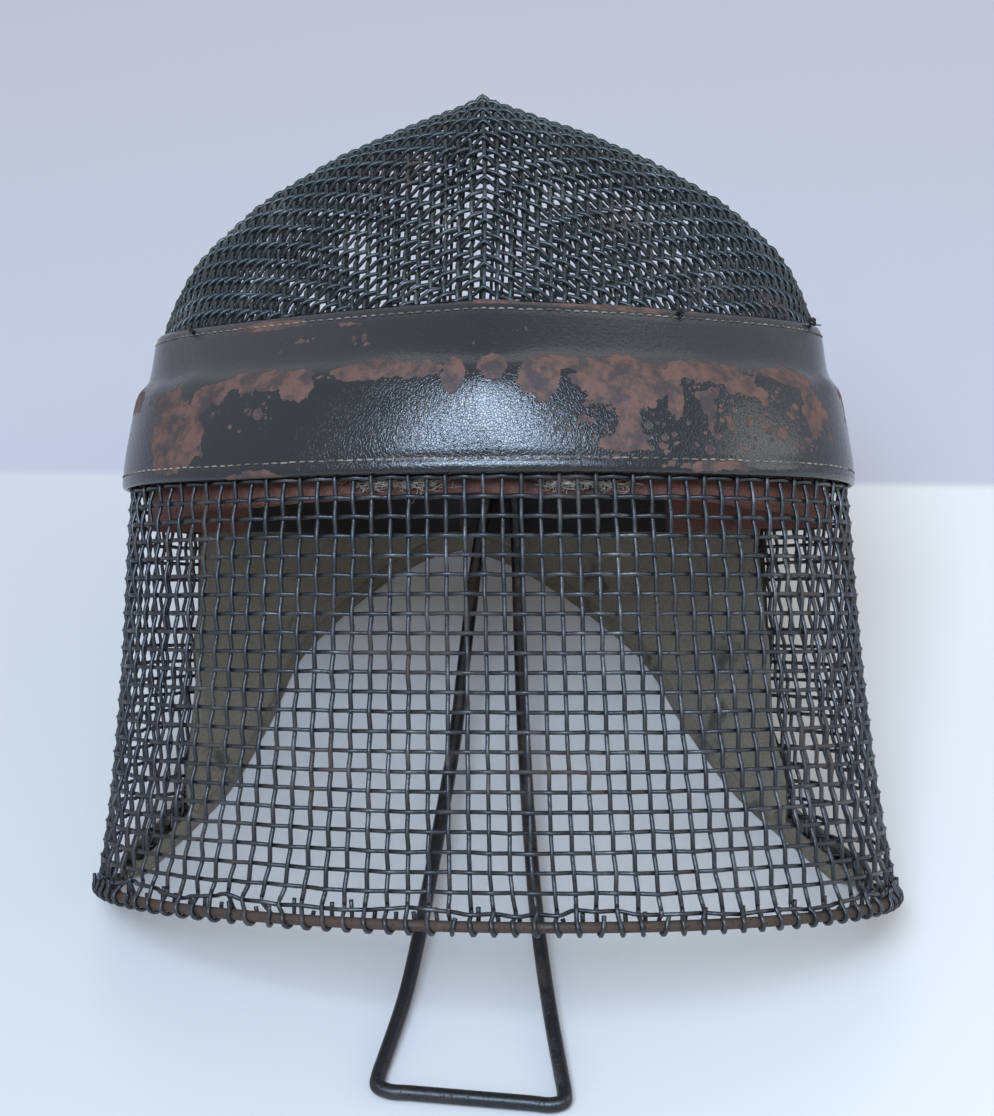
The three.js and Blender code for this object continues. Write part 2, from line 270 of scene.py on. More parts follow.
def sweep(paths, sides=6):
    """Points and faces of round rods. Each path is (points, sideways directions, radius)."""
    turn = np.arange(sides) * 2 * np.pi / sides
    all_points, faces, start = [], [], 0
    for points, sideways, radius in paths:
        count = len(points)
        along = unit(np.gradient(points, axis=0))
        first = unit(sideways - along * (sideways * along).sum(1, keepdims=True))
        second = np.cross(along, first)
        ring = first[:, None] * np.cos(turn)[:, None] + second[:, None] * np.sin(turn)[:, None]
        radius = np.broadcast_to(radius, count)[:, None, None]
        all_points.append((points[:, None] + ring * radius).reshape(-1, 3))
        row = np.arange(count - 1)[:, None] * sides
        here, there = np.arange(sides), np.roll(np.arange(sides), -1)
        corners = [row + here, row + there, row + sides + there, row + sides + here]
        faces += (start + np.stack(corners, -1).reshape(-1, 4)).tolist()
        faces.append((start + here[::-1]).tolist())
        faces.append((start + (count - 1) * sides + here).tolist())
        start += count * sides
    return np.concatenate(all_points), faces


def loft(outlines, joined):
    """Points and faces of a shell drawn between closed outlines."""
    bays, count = len(outlines), len(outlines[0])
    here, there = np.arange(count), np.roll(np.arange(count), -1)
    i = np.arange(bays if joined else bays - 1)[:, None]
    j = (i + 1) % bays
    corners = [i * count + here, j * count + here, j * count + there, i * count + there]
    faces = np.stack(corners, -1).reshape(-1, 4).tolist()
    if not joined:
        faces.append(here.tolist())
        faces.append(((bays - 1) * count + here[::-1]).tolist())
    return np.concatenate(outlines), faces


# %% [markdown]
# ## The face mesh
#
# The face is woven from stiff wires five to the inch. Every wire goes over one crossing and
# under the next, so each is bent into a shallow wave. Here a wire's path is the skin plus a
# cosine wave whose half length is the pitch, and the wires that cross it have the opposite
# wave. Nothing woven by hand is perfectly square, so each crossing is nudged a little, more
# near the rim, where the wires were pulled tight and wrapped.

# %% Grid of the face mesh
FACE_PITCH = 5.08
FACE_WIRE = 0.62               # radius of the wire
UPRIGHT_CRIMP = 0.7            # chosen: the uprights look straighter than the rounds
FACE_MIDDLE = -1.2             # middle of the two crossed wires below the skin
FACE_FIRST_ROW = 2.6           # height of the lowest cross wire
FACE_ROWS = 24
STEPS = 4                      # points on a wire for each crossing
RIM_END = 104.0                # turn where the rim wire stops and the binding begins

rng = np.random.default_rng(7)


def turns_at_even_steps(height, pitch):
    """Turns that are one pitch apart along the skin at a height, and their exact spacing."""
    fine = np.linspace(0, 180, 1801)
    points = skin(fine, height)
    run = np.concatenate([[0], np.cumsum(np.linalg.norm(np.diff(points, axis=0), axis=1))])
    count = int(round(run[-1] / pitch))
    return fine, run, count, run[-1] / count


fine_turn, run_at, HALF_COLUMNS, column_pitch = turns_at_even_steps(70.0, FACE_PITCH)


def column_turn(column):
    """Turn of a column, counted from the middle of the face. Fractions lie between columns."""
    column = np.asarray(column, float)
    return np.sign(column) * np.interp(np.abs(column) * column_pitch, run_at, fine_turn)


def smooth_noise(shape, reach):
    """Random numbers around zero that change slowly over a grid."""
    noise = rng.normal(size=shape)
    for _ in range(reach):
        noise = (noise + np.roll(noise, 1, 0) + np.roll(noise, -1, 0)) / 3
        noise[:, 1:-1] = (noise[:, :-2] + noise[:, 1:-1] + noise[:, 2:]) / 3
    return noise / noise.std()


column_count = 2 * HALF_COLUMNS
grid = (column_count, FACE_ROWS)
row_height = FACE_FIRST_ROW + FACE_PITCH * np.arange(FACE_ROWS)
near_rim = np.exp(-(row_height - FACE_FIRST_ROW) / 14)
nudge_along = 0.06 * rng.normal(size=grid) + 0.12 * smooth_noise(grid, 3) * (0.5 + 1.6 * near_rim)
nudge_up = 0.05 * rng.normal(size=grid) + 0.11 * smooth_noise(grid, 2) * (0.5 + 1.5 * near_rim)
nudge_up[:, 0] += 0.5 * smooth_noise((column_count, 3), 1)[:, 0]


def nudged(column, row):
    """Turns and heights of places on the grid, moved by the nudges of the crossings around."""
    column, row = np.broadcast_arrays(np.asarray(column, float), np.asarray(row, float))
    low_row = np.clip(np.floor(row).astype(int), 0, FACE_ROWS - 2)
    low_column = np.floor(column).astype(int)
    u, v = column - low_column, np.clip(row - low_row, 0, 1)
    u, v = u * u * (3 - 2 * u), v * v * (3 - 2 * v)

    def between(values):
        a, b = low_column % column_count, (low_column + 1) % column_count
        lower = values[a, low_row] * (1 - u) + values[b, low_row] * u
        upper = values[a, low_row + 1] * (1 - u) + values[b, low_row + 1] * u
        return lower * (1 - v) + upper * v

    turn = column_turn(column + between(nudge_along) / column_pitch)
    return turn, FACE_FIRST_ROW + FACE_PITCH * row + between(nudge_up)


print(column_count, "columns,", round(column_pitch, 2), "mm apart, and", FACE_ROWS, "rows")

# %% [markdown]
# The wires that run up the face end at the bottom in one of two ways. Round the front each
# is wrapped about the thick rim wire and its cut tip is left standing. Behind, where the
# opening slopes up, each stops inside the leather that is folded over the edge.

# %% Wires that run up the face
RIM_WIRE = 1.45                # radius
WRAP = RIM_WIRE + FACE_WIRE


def rim_middle(turn):
    """Middle of the rim wire, which lies just below the mesh."""
    turn = np.asarray(turn, float)
    return off(turn, np.full(turn.shape, 1.0), np.full(turn.shape, -1.2)) - [0, 0, RIM_WIRE + 0.3]


def wrapped_end(column, join):
    """The end of an upright wire: down the outside of the rim, under it and up inside."""
    turn = float(column_turn(column))
    centre = rim_middle(turn)
    out = outward(turn, 1.0) * [1, 1, 0]
    out = out / np.linalg.norm(out)
    along = unit(rim_middle(turn + 1) - rim_middle(turn - 1))
    tip, drift, swing = rng.uniform(0.6, 4.2), rng.uniform(1.3, 2.2), rng.choice([1, 1, 1, -1])
    angles = np.radians(np.linspace(48, -205 - 30 * rng.random(), 13))
    part = np.linspace(0, 1, len(angles))
    loop = centre + along * (drift * part)[:, None] + WRAP * 1.02 * (
        swing * np.cos(angles)[:, None] * out + np.sin(angles)[:, None] * np.array([0, 0, 1.0]))
    rise = np.linspace(0, 1, 4)[1:, None] * tip * np.array([0, 0, 1.0])
    lean_over = along * (rng.uniform(-0.5, 0.6) * np.linspace(0, 1, 4)[1:, None])
    path = np.concatenate([join[::-1], loop, loop[-1] + rise + lean_over])
    sideways = np.broadcast_to(along, path.shape)
    return path, sideways


def upright(column):
    """Path of one upright wire, from under the band down to its lower end."""
    steps = np.arange((FACE_ROWS - 1) * STEPS + 1) / STEPS
    turn, height = nudged(np.full(len(steps), float(column)), steps)
    wave = UPRIGHT_CRIMP * FACE_WIRE * np.cos(np.pi * (steps + column))
    points, sideways = off(turn, height, FACE_MIDDLE + wave), outward(turn, height)
    kept = height > edge_height(turn) + 0.4
    return points[kept], sideways[kept]


uprights = []
for column in range(-HALF_COLUMNS, HALF_COLUMNS):
    points, sideways = upright(column)
    wire_radius = FACE_WIRE * rng.uniform(0.97, 1.03)
    if abs(column_turn(column)) < RIM_END:
        end, end_sideways = wrapped_end(column, points[:2])
        uprights.append((points[1:], sideways[1:], wire_radius))
        uprights.append((end, end_sideways, wire_radius))
    elif len(points) > 2:
        uprights.append((points, sideways, wire_radius))
face_uprights = add_piece("face_upright_wires", *sweep(uprights), "face_wire", replaces=["face_mesh"])

# %% Wires that run round the face
rounds = []
for row in range(FACE_ROWS):
    steps = np.arange(-HALF_COLUMNS * STEPS, HALF_COLUMNS * STEPS + 1) / STEPS
    turn, height = nudged(steps, np.full(len(steps), float(row)))
    wave = -(2 - UPRIGHT_CRIMP) * FACE_WIRE * np.cos(np.pi * (steps + row))
    points, sideways = off(turn, height, FACE_MIDDLE + wave), outward(turn, height)
    kept = height > edge_height(turn) + 0.4
    reach = np.flatnonzero(kept)
    part = slice(reach[0], reach[-1] + 1)
    rounds.append((points[part], sideways[part], FACE_WIRE))
face_rounds = add_piece("face_round_wires", *sweep(rounds), "face_wire")

# %% [markdown]
# ## The rim wire
#
# The mesh would fray and bend without a stiff edge, so it is wrapped about one thick wire
# that runs round the front of the opening, from one end of the binding to the other.

# %% Rim wire
rim_turns = np.linspace(-RIM_END, RIM_END, 240)
rim_path = rim_middle(rim_turns)
rim_points, rim_faces = sweep([(rim_path, outward(rim_turns, np.full(240, 1.0)), RIM_WIRE)], sides=12)
rim = add_piece("rim_wire_round", rim_points, rim_faces, "steel_rod", replaces=["rim_wire"])

# %% [markdown]
# ## The crown
#
# The crown is a second, finer sheet pressed to a ridge. Its wires can't stretch, so along
# each one the crossings stay a pitch apart. That gives the pattern: one wire lies along the
# crest from ear to ear, the upright wires leave it at even steps and run forwards and
# backwards in upright planes, and the cross wires join the points that lie equally far down
# each of them. The cross wires then fall away from the crease by themselves, as they do in
# the real sheet.

# %% Grid of the crown
CROWN_PITCH = 4.0
CROWN_WIRE = 0.62              # radius, chosen for how dense the crown looks
CROWN_BELOW = 4.0              # middle of the crown's wires below the skin
CROWN_FOOT = 146.0             # the crown is hidden by the bands below this height
CROWN_BASE = 163.0


def crown_column(across, crest, foot, count=160):
    """Points of one upright wire, from the front foot over the crest to the back foot."""
    t = np.linspace(1, 0, count)
    height = crest - (crest - foot) * t * t
    s = np.clip(across / np.maximum(level("half_width", height), 1e-6), 0, 1)
    front, widest, rear, keel = (level(n, height) for n in ("front", "widest", "rear", "keel"))
    before = front + (widest - front) * (keel * s + (1 - keel) * (1 - np.sqrt(1 - s * s)))
    s_behind = s ** (1 / level("taper", height))
    behind = widest + (rear - widest) * (1 - s_behind ** 2) ** (BACK_POWER / 2)
    y = np.concatenate([before, behind[-2::-1]])
    z = np.concatenate([height, height[-2::-1]])
    return np.stack([np.full(len(y), across), y, z], -1), count - 1


def pressed_in(points):
    """Moves points of the skin in to where the crown's wires lie, a little below it."""
    x, y, z = points.T
    rise = np.clip((z - CROWN_BASE) / (PEAK - CROWN_BASE), -1, 1)
    shrink = 1 - CROWN_BELOW / 100
    return np.stack([x * shrink, 100 + (y - 100) * shrink, z - CROWN_BELOW * np.maximum(rise, 0)], -1)


crest_height = np.concatenate([np.linspace(PEAK, 228, 60)[:-1], np.linspace(228, CROWN_FOOT - 12, 200)])
crest_out = level("half_width", crest_height)
crest_run = np.concatenate([[0], np.cumsum(np.hypot(np.diff(crest_out), np.diff(crest_height)))])
crown_half = int(crest_run[-1] // CROWN_PITCH)
crown_reach = 48               # crossings from the crest to the foot, at most
quarter = CROWN_PITCH / STEPS

lattice = np.full((crown_half * STEPS + 1, 2 * crown_reach * STEPS + 1, 3), np.nan)
for step in range(lattice.shape[0]):
    crest = np.interp(step * quarter, crest_run, crest_height)
    path, top = crown_column(float(level("half_width", crest)), crest, CROWN_FOOT - 12)
    path = pressed_in(path)
    run = np.concatenate([[0], np.cumsum(np.linalg.norm(np.diff(path, axis=0), axis=1))])
    run -= run[top]
    places = (np.arange(lattice.shape[1]) - crown_reach * STEPS) * quarter
    inside = (places > run[0]) & (places < run[-1])
    for axis in range(3):
        lattice[step, inside, axis] = np.interp(places[inside], run, path[:, axis])
mirrored = lattice[:0:-1].copy()
mirrored[..., 0] *= -1
lattice = np.concatenate([mirrored, lattice])
lattice[..., 0] += askew(lattice[..., 1], lattice[..., 2])
crown_normals = unit(np.cross(np.gradient(lattice, axis=0), np.gradient(lattice, axis=1)))
print("crown lattice:", lattice.shape[:2], "- the crest is", round(crest_run[-1], 1), "mm each side")

# %% Wires of the crown
column_index = np.arange(lattice.shape[0])[:, None] / STEPS
row_index = np.arange(lattice.shape[1])[None, :] / STEPS
slow_bend = 2.3 * np.sin(row_index * 0.31)
sway = 0.10 * np.sin(column_index * 0.9 + slow_bend) + 0.08 * np.sin(row_index * 1.3 + column_index)
lattice_z = np.nan_to_num(lattice[..., 2], nan=0.0)
shown = (lattice_z > CROWN_FOOT) & np.isfinite(crown_normals).all(-1)
wave = CROWN_WIRE * np.cos(np.pi * (column_index + row_index))


def lattice_wires(points, normals, kept, pick):
    """Paths of the wires along the second direction of a lattice, at every whole crossing."""
    paths = []
    for i in range(pick, len(points), STEPS):
        reach = np.flatnonzero(kept[i])
        if len(reach) > 2 * STEPS:
            part = slice(reach[0], reach[-1] + 1)
            whole = kept[i, part]
            paths.append((points[i, part][whole], normals[i, part][whole], CROWN_WIRE))
    return paths


over = lattice + crown_normals * (wave + sway)[..., None]
under = lattice + crown_normals * (sway - wave)[..., None]
middle_offset = (lattice.shape[0] // 2) % STEPS
crown_up = lattice_wires(over, crown_normals, shown, middle_offset)
crown_over = lattice_wires(under.swapaxes(0, 1), crown_normals.swapaxes(0, 1), shown.T, 0)
crown_uprights = add_piece("crown_upright_wires", *sweep(crown_up), "crown_wire", replaces=["crown_mesh"])
crown_crossers = add_piece("crown_cross_wires", *sweep(crown_over), "crown_wire")

# %% [markdown]
# ## The band over the seam
#
# The band is a strip of patent leather: black lacquer over brown hide. It was wetted and
# pulled tight over the step where the face mesh ends, so the ridge of the step shows through
# and the lacquer is worn off there. Its outline is a short table of heights and offsets,
# with the edges rolled in, and it dips along the two lines of stitches.

# %% Forehead band
STITCH_ROWS = (118.6, 160.0)
BAND_OUTLINE = np.array([
    (116.2, 0.55), (115.2, 0.7), (114.9, 1.3), (115.3, 1.9), (116.6, 2.25), (118.0, 2.2),
    (118.6, 2.0), (119.3, 2.2), (121.5, 2.4), (127, 2.5), (133, 2.55), (138, 2.5), (141, 2.3),
    (143, 1.8), (144.6, 1.0), (146, 0.2), (147.6, -0.45), (150, -0.8), (154, -0.9), (158, -0.85),
    (159.3, -0.9), (160, -1.1), (160.7, -0.95), (162, -1.15), (162.9, -1.6), (162.9, -2.2),
    (161, -2.6), (155, -2.45), (149, -2.35), (146, -1.2), (143.5, 0.3), (140, 0.6), (130, 0.6), (121, 0.55),
])
BAND_COLUMNS = 720


def slow_waves(turn, seed, sizes=((2, 0.5), (5, 0.3), (9, 0.2))):
    """A closed wavy line around zero: a few waves round the mask, of given counts and sizes."""
    phases = np.random.default_rng(seed).uniform(0, 2 * np.pi, len(sizes))
    return sum(size * np.sin(count * np.radians(turn) + phase) for (count, size), phase in zip(sizes, phases))


def along_skin(turns):
    """How far turns lie from the middle of the face, along the skin."""
    return np.sign(turns) * np.interp(np.abs(turns), fine_turn, run_at)


def shell_along(name, slot, replaces, turns, points_at, joined):
    """A shell drawn through the outlines that a function gives at each turn."""
    return add_piece(name, *loft([points_at(turn) for turn in turns], joined), slot, replaces)


def note(piece, name, values):
    """Stores a number for each point of a piece, for its finish to read."""
    piece.data.attributes.new(name, "FLOAT", "POINT").data.foreach_set("value", np.asarray(values, float))


def band_points(turn):
    """The band's outline at a turn, dented along the ridge and loose below it."""
    height, out = BAND_OUTLINE.T
    edge_wave = 0.35 * slow_waves(turn, 3)
    swell = 0.22 * slow_waves(turn, 4, ((3, 0.5), (7, 0.4), (13, 0.3), (21, 0.2)))
    ridge = np.exp(-((height - 143) / 5) ** 2)
    low = np.clip((147 - height) / 5, 0, 1)
    dents = 0.2 * slow_waves(turn, 5, ((11, 0.5), (17, 0.5), (29, 0.3))) * ridge
    height, out = height + edge_wave + dents * 2, out + np.maximum(swell, -0.2) * low + dents
    return off(np.full(len(out), turn), height, out)


# Each worn place: how far along and up its middle lies, its half length and half height, and
# how worn it is. Negative places are on the left.
WORN_PLACES = np.array([
    (-92, 127, 11, 10, 1.0), (-98, 137, 8, 5, 0.8), (-63, 141.4, 17, 3.2, 1.0),
    (-52, 137.3, 5, 3, 1.0), (-80, 138.5, 6, 3.5, 0.9), (-26, 142.4, 17, 3.0, 1.0),
    (-7.5, 140.5, 3.2, 5, 1.0), (3, 143.5, 4, 3.2, 1.0), (15.5, 139.6, 6, 6.5, 1.0),
    (20, 143.5, 9, 2.6, 0.9), (38.5, 139.2, 14, 7.0, 1.1), (63, 142.6, 13, 3.8, 1.0),
    (74, 139.5, 6, 4, 0.85), (92, 143, 11, 3.2, 0.9), (100, 133, 6, 8, 0.7),
    (-66, 160, 12, 1.8, 0.9), (-40, 157, 6, 1.4, 0.7), (3, 162.6, 8, 1.4, 0.9),
    (40, 161.8, 26, 1.2, 0.75), (-62, 115.4, 10, 1.4, 0.9), (37, 121.6, 6.5, 1.7, 1.0),
    (60, 117, 16, 1.6, 0.7), (-3, 151.3, 1.6, 1.3, 1.1), (31, 129.7, 1.9, 1.7, 1.1),
    (41, 128.8, 2.4, 1.9, 1.1), (50, 129.5, 2.2, 1.7, 1.1), (53, 133, 2.2, 1.7, 1.1),
    (62, 133, 2, 1.8, 1.1), (59, 128.8, 1.8, 1.6, 1.1), (68, 128.3, 2, 1.6, 1.1),
    (62.5, 125.3, 1.9, 1.6, 1.1), (50.5, 124.9, 1.9, 1.5, 1.1), (80, 131, 2.6, 2, 1.1),
    (38, 126, 2.2, 1.6, 1.1), (30, 137.4, 2.4, 2, 1.1), (-140, 140, 30, 5, 0.9),
    (150, 140, 32, 5, 0.9), (-190, 128, 22, 8, 0.8), (200, 136, 26, 6, 0.8),
])
CHIPPED_PLACES = np.array([
    (40, 129, 22, 11, 0.85), (66, 130, 22, 11, 0.95), (-64, 130, 20, 8, 0.6),
    (95, 131, 16, 11, 0.8), (20, 152, 40, 6, 0.4), (-45, 153, 26, 5, 0.45),
    (160, 130, 40, 12, 0.7), (-150, 128, 40, 12, 0.6),
])


def blotches(along, up, places):
    """The strongest of some soft oval places at each point."""
    middles, sizes = places[:, :2], places[:, 2:4]
    away = (np.stack([along, up], -1)[:, None] - middles) / sizes
    return (places[:, 4] * np.exp(-(away ** 2).sum(-1) ** 2 * 0.7)).max(1)


band_turns = np.linspace(-180, 180, BAND_COLUMNS, endpoint=False)
band = shell_along("lacquered_band", "patent_leather", ["forehead_band"], band_turns, band_points, True)
every_along = np.repeat(along_skin(band_turns), len(BAND_OUTLINE))
every_up = np.tile(BAND_OUTLINE[:, 0], len(band_turns))
note(band, "wear", blotches(every_along, every_up, WORN_PLACES))
note(band, "chips", blotches(every_along, every_up, CHIPPED_PLACES))

# %% [markdown]
# ## Stitches and knots
#
# Two rows of waxed thread hold the band, each a few millimetres inside an edge. A stitch is
# a short bead of thread that dives into the leather at both ends. Where a thread ran out it
# was knotted off, and the ends were left.

# %% Stitches of the band
STITCH_PITCH = 2.7
STITCH_LENGTH = 2.0
THREAD = 0.27


def stitch_row(height, lift):
    """Short beads of thread at even steps round the band at a height."""
    around = run_at[-1]
    count = int(2 * around / STITCH_PITCH)
    stitches = []
    for i in range(count):
        middle = -around + 2 * around * (i + 0.5) / count + rng.normal(scale=0.12)
        length = STITCH_LENGTH * rng.uniform(0.8, 1.08)
        place = middle + np.linspace(-0.5, 0.5, 6) * length
        turn = np.sign(place) * np.interp(np.abs(place), run_at, fine_turn)
        bow = np.sin(np.linspace(0, np.pi, 6))
        edge_wave = 0.35 * slow_waves(turn, 3)
        swell = np.maximum(0.22 * slow_waves(turn, 4, ((3, 0.5), (7, 0.4), (13, 0.3), (21, 0.2))), -0.2)
        out = lift + (swell if height < 143 else 0) + 0.2 * bow - 0.12
        points = off(turn, height + edge_wave + rng.normal(scale=0.05), out)
        stitches.append((points, outward(turn, np.full(6, height)), THREAD * (0.55 + 0.45 * bow)))
    return stitches


stitches = stitch_row(STITCH_ROWS[0], 2.12) + stitch_row(STITCH_ROWS[1], -0.98)
band_stitches = add_piece("band_stitches", *sweep(stitches, sides=6), "brown_leather")


def tangle(turn, height, out, size, loops, seed):
    """A small knot: a thread that winds about a point, with two loose ends."""
    draw = np.random.default_rng(seed)
    t = np.linspace(0, 1, 22 * loops)
    around = draw.uniform(0, 6, 3) + 2 * np.pi * loops * np.outer(t, draw.uniform(0.7, 1.3, 3))
    ball = size * np.sin(around) * (0.5 + 0.5 * np.sin(np.pi * t))[:, None]
    ends = np.outer(np.maximum(t - 0.9, 0) * 30 - np.maximum(0.1 - t, 0) * 24, draw.normal(size=3))
    centre = off(np.array([turn]), np.array([height]), np.array([out]))[0]
    normal = outward(turn, height)
    points = centre + ball + ends * 0.8
    sideways = np.broadcast_to(normal, points.shape) + 0.3 * np.roll(ball, 1, 1)
    return points, sideways, 0.2


knots = [tangle(*row) for row in (
    (32.5, 161.5, -0.2, 0.75, 4, 2), (72, 163.2, -0.4, 1.0, 5, 8), (-58, 161, -0.4, 0.6, 3, 5))]
band_knots = add_piece("thread_knots", *sweep(knots, sides=5), "dark_leather")

# %% [markdown]
# ## Leather inside the mask
#
# Inside, a sweatband keeps the wire off the forehead, and the back below it is lined. Both
# are plain soft leather, so their edges wander. Where the lining is cut short at its front
# edge it has torn a little.

# %% Sweatband and lining
def wavy_outline(bottom, top, outer, inner, steps=12):
    """A closed outline of heights and offsets with rounded ends."""
    up = np.linspace(bottom, top, steps)
    outside = [(h, outer) for h in up]
    inside = [(h, inner) for h in up[::-1]]
    round_high = [(top + 0.4, outer - 0.35), (top + 0.4, inner + 0.35)]
    round_low = [(bottom - 0.5, inner + 0.35), (bottom - 0.5, outer - 0.35)]
    return np.array(outside + round_high + inside + round_low)


SWEATBAND_TOP = 158.0
SWEATBAND_EDGE = np.array([(0.0, 111.3), (45, 108.5), (90, 103.8), (140, 106), (180, 107.3)])
SWEATBAND_OUTLINE = wavy_outline(0.0, 1.0, -5.5, -7.1, steps=14)


def sweatband_points(turn):
    edge = through_rows(SWEATBAND_EDGE, 1, abs(turn))
    edge = edge + 0.5 * slow_waves(turn, 11, ((4, 0.4), (9, 0.5), (17, 0.4)))
    part = SWEATBAND_OUTLINE[:, 0]
    body = np.clip(part, 0, 1)
    height = edge + (SWEATBAND_TOP - edge) * body + (part - body)
    sag = 0.5 * slow_waves(turn, 12, ((5, 0.5), (11, 0.5))) * (1 - body) ** 2
    return off(np.full(len(part), turn), height, SWEATBAND_OUTLINE[:, 1] - np.abs(sag))


inner_turns = np.linspace(-180, 180, 240, endpoint=False)
inner_band = shell_along(
    "inner_sweatband", "brown_leather", ["sweatband"], inner_turns, sweatband_points, True)
note(inner_band, "along", np.repeat(along_skin(inner_turns), len(SWEATBAND_OUTLINE)))

LINING_START = 118.0
LINING_TOP = 120.5
LINING_OUTLINE = wavy_outline(0.0, 1.0, -3.4, -4.6, steps=20)


def lining_points(turn_beyond):
    """Outline at a distance in degrees from the lining's first edge, round the back."""
    turn = LINING_START + turn_beyond
    turn = turn if turn <= 180 else turn - 360
    part = LINING_OUTLINE[:, 0]
    body = np.clip(part, 0, 1)
    foot = float(edge_height(turn)) + 2.4
    from_end = min(turn_beyond, 360 - 2 * LINING_START - turn_beyond)
    ragged = 3.0 * np.exp(-from_end / 2.0) * (1 + np.sin(turn * 5.0))
    height = foot + ragged + (LINING_TOP - foot - ragged) * body + (part - body)
    folds = slow_waves(turn, 14, ((7, 0.5), (15, 0.5), (31, 0.4)))
    ripple = 0.35 * np.sin(height * 0.21 + 0.12 * turn) + 0.3 * folds
    end_wave = 1.1 * np.sin(height * 0.16) * np.exp(-from_end / 3.0)
    place = turn + np.sign(turn) * end_wave
    return off(np.full(len(part), place), height, LINING_OUTLINE[:, 1] - 0.3 - 0.5 * np.abs(ripple))


lining_beyond = np.linspace(0, 360 - 2 * LINING_START, 150)
back_lining = shell_along(
    "back_lining", "olive_leather", ["edge_lining"], lining_beyond, lining_points, False)

# %% [markdown]
# ## The bound edge
#
# Cut wires are sharp, so the edge that goes over the head is closed with a strip of leather
# folded over it, close in colour to the lining: a long flap outside, a short one inside, and
# the fold between. The fold is what the mask lies on, so it is flat underneath.

# %% Edge binding
BINDING_START = 106.0
BINDING_OUTSIDE, BINDING_INSIDE, BINDING_BELOW = 7.0, 3.2, 1.5
BINDING_OUTLINE = np.array([      # rise above the cut edge, and offset from the skin
    (-0.6, -3.0), (BINDING_INSIDE, -3.1), (BINDING_INSIDE + 0.3, -3.7), (BINDING_INSIDE - 0.3, -4.2),
    (1.5, -4.35), (-0.4, -4.3), (-1.1, -4.0), (-BINDING_BELOW, -3.3), (-BINDING_BELOW, -1.2),
    (-BINDING_BELOW, 0.7), (-1.1, 1.5), (-0.4, 1.9), (1.5, 2.05), (3.5, 2.05), (5.6, 2.0),
    (BINDING_OUTSIDE - 0.2, 1.8), (BINDING_OUTSIDE + 0.2, 1.2), (BINDING_OUTSIDE, 0.8), (3, 0.75),
    (-0.6, 0.75),
])


def binding_points(beyond):
    turn = BINDING_START + beyond
    turn = turn if turn <= 180 else turn - 360
    rise, out = BINDING_OUTLINE.T
    edge = float(edge_height(turn))
    wander = 0.45 * slow_waves(turn, 21, ((9, 0.5), (19, 0.5), (37, 0.3))) * np.clip(rise / 3, 0, 1)
    points = off(np.full(len(rise), turn), edge + np.maximum(rise, 0) + wander, out)
    low = rise <= 0
    points[low, 2] = cut_height(points[low, 1]) + rise[low]
    return points


binding_beyond = np.linspace(0, 360 - 2 * BINDING_START, 200)
bound_edge = shell_along(
    "bound_edge", "dark_leather", ["edge_binding"], binding_beyond, binding_points, False)

# %% [markdown]
# ## The head spring
#
# The spring is one bent rod. Its two legs start at a plate behind the sweatband, run down
# across the hollow and meet in a straight bar, which stands on the floor in front. Its route
# is the table that the model's rod follows, with a rounded bend at each foot.

# %% Head spring
ROD = 2.1
SPRING_LEGS = np.array([       # depth, height, and the two legs' places across
    (183.4, 136, -10.2, -2.3),
    (183.2, 127, -10.4, -2.1),
    (178.4, 117.8, -10.8, -1.4),
    (164.6, 102, -12.3, 0.5),
    (138, 70.3, -13.6, 3.7),
    (111.4, 39.6, -14.4, 7.1),
    (87, 11.4, -16.8, 10.9),
    (67.7, -10.8, -19, 14.6),
    (51.7, -29.3, -21.7, 18.7),
])
FEET = {"left": (-27.3, 32.3), "right": (25.1, 29.6)}
FOOT_BEND = 4.0


def on_floor(x, depth, lift):
    """The point at a place across and depth whose height above the floor is the lift."""
    height = (lift - SHIFT[2] + depth * np.sin(RECLINE)) / np.cos(RECLINE)
    return np.array([x, depth, height])


def smooth_path(points, per_span=8):
    """A curve through points, with knots spaced by the root of the distance between them."""
    ends = [2 * points[0] - points[1], *points, 2 * points[-1] - points[-2]]
    path = []
    for p0, p1, p2, p3 in zip(ends, ends[1:], ends[2:], ends[3:]):
        knots = np.cumsum([0] + [np.linalg.norm(b - a) ** 0.5 for a, b in ((p0, p1), (p1, p2), (p2, p3))])
        for t in np.linspace(knots[1], knots[2], per_span, endpoint=False):
            def mix(a, b, i, j):
                return a * (knots[j] - t) / (knots[j] - knots[i]) + b * (t - knots[i]) / (knots[j] - knots[i])
            a1, a2, a3 = mix(p0, p1, 0, 1), mix(p1, p2, 1, 2), mix(p2, p3, 2, 3)
            b1, b2 = mix(a1, a2, 0, 2), mix(a2, a3, 1, 3)
            path.append(mix(b1, b2, 1, 2))
    return np.array(path + [points[-1]])


def spring_route():
    legs = {"left": SPRING_LEGS[:, [2, 0, 1]], "right": SPRING_LEGS[::-1][:, [3, 0, 1]]}
    feet = {side: on_floor(*FEET[side], ROD) for side in FEET}
    bar = unit(feet["right"] - feet["left"])
    bends = {}
    for side, inwards, leg_end in (("left", bar, legs["left"][-1]), ("right", -bar, legs["right"][0])):
        corner, up = feet[side], unit(leg_end - feet[side])
        leg_part = [corner + up * FOOT_BEND * part for part in (2.5, 1)]
        middle = [corner + FOOT_BEND * (0.35 * up + 0.15 * inwards)]
        bends[side] = leg_part + middle + [corner + inwards * FOOT_BEND * part for part in (1, 2.5)]
    return [*legs["left"], *bends["left"], *bends["right"][::-1], *legs["right"]]


spring_path = smooth_path(spring_route())
across = np.broadcast_to([0.0, -np.sin(RECLINE), np.cos(RECLINE)], spring_path.shape)
spring = add_piece("bent_rod_spring", *sweep([(spring_path, across + [0.02, 0, 0], ROD)], sides=14),
                   "steel_rod", replaces=["head_spring"])

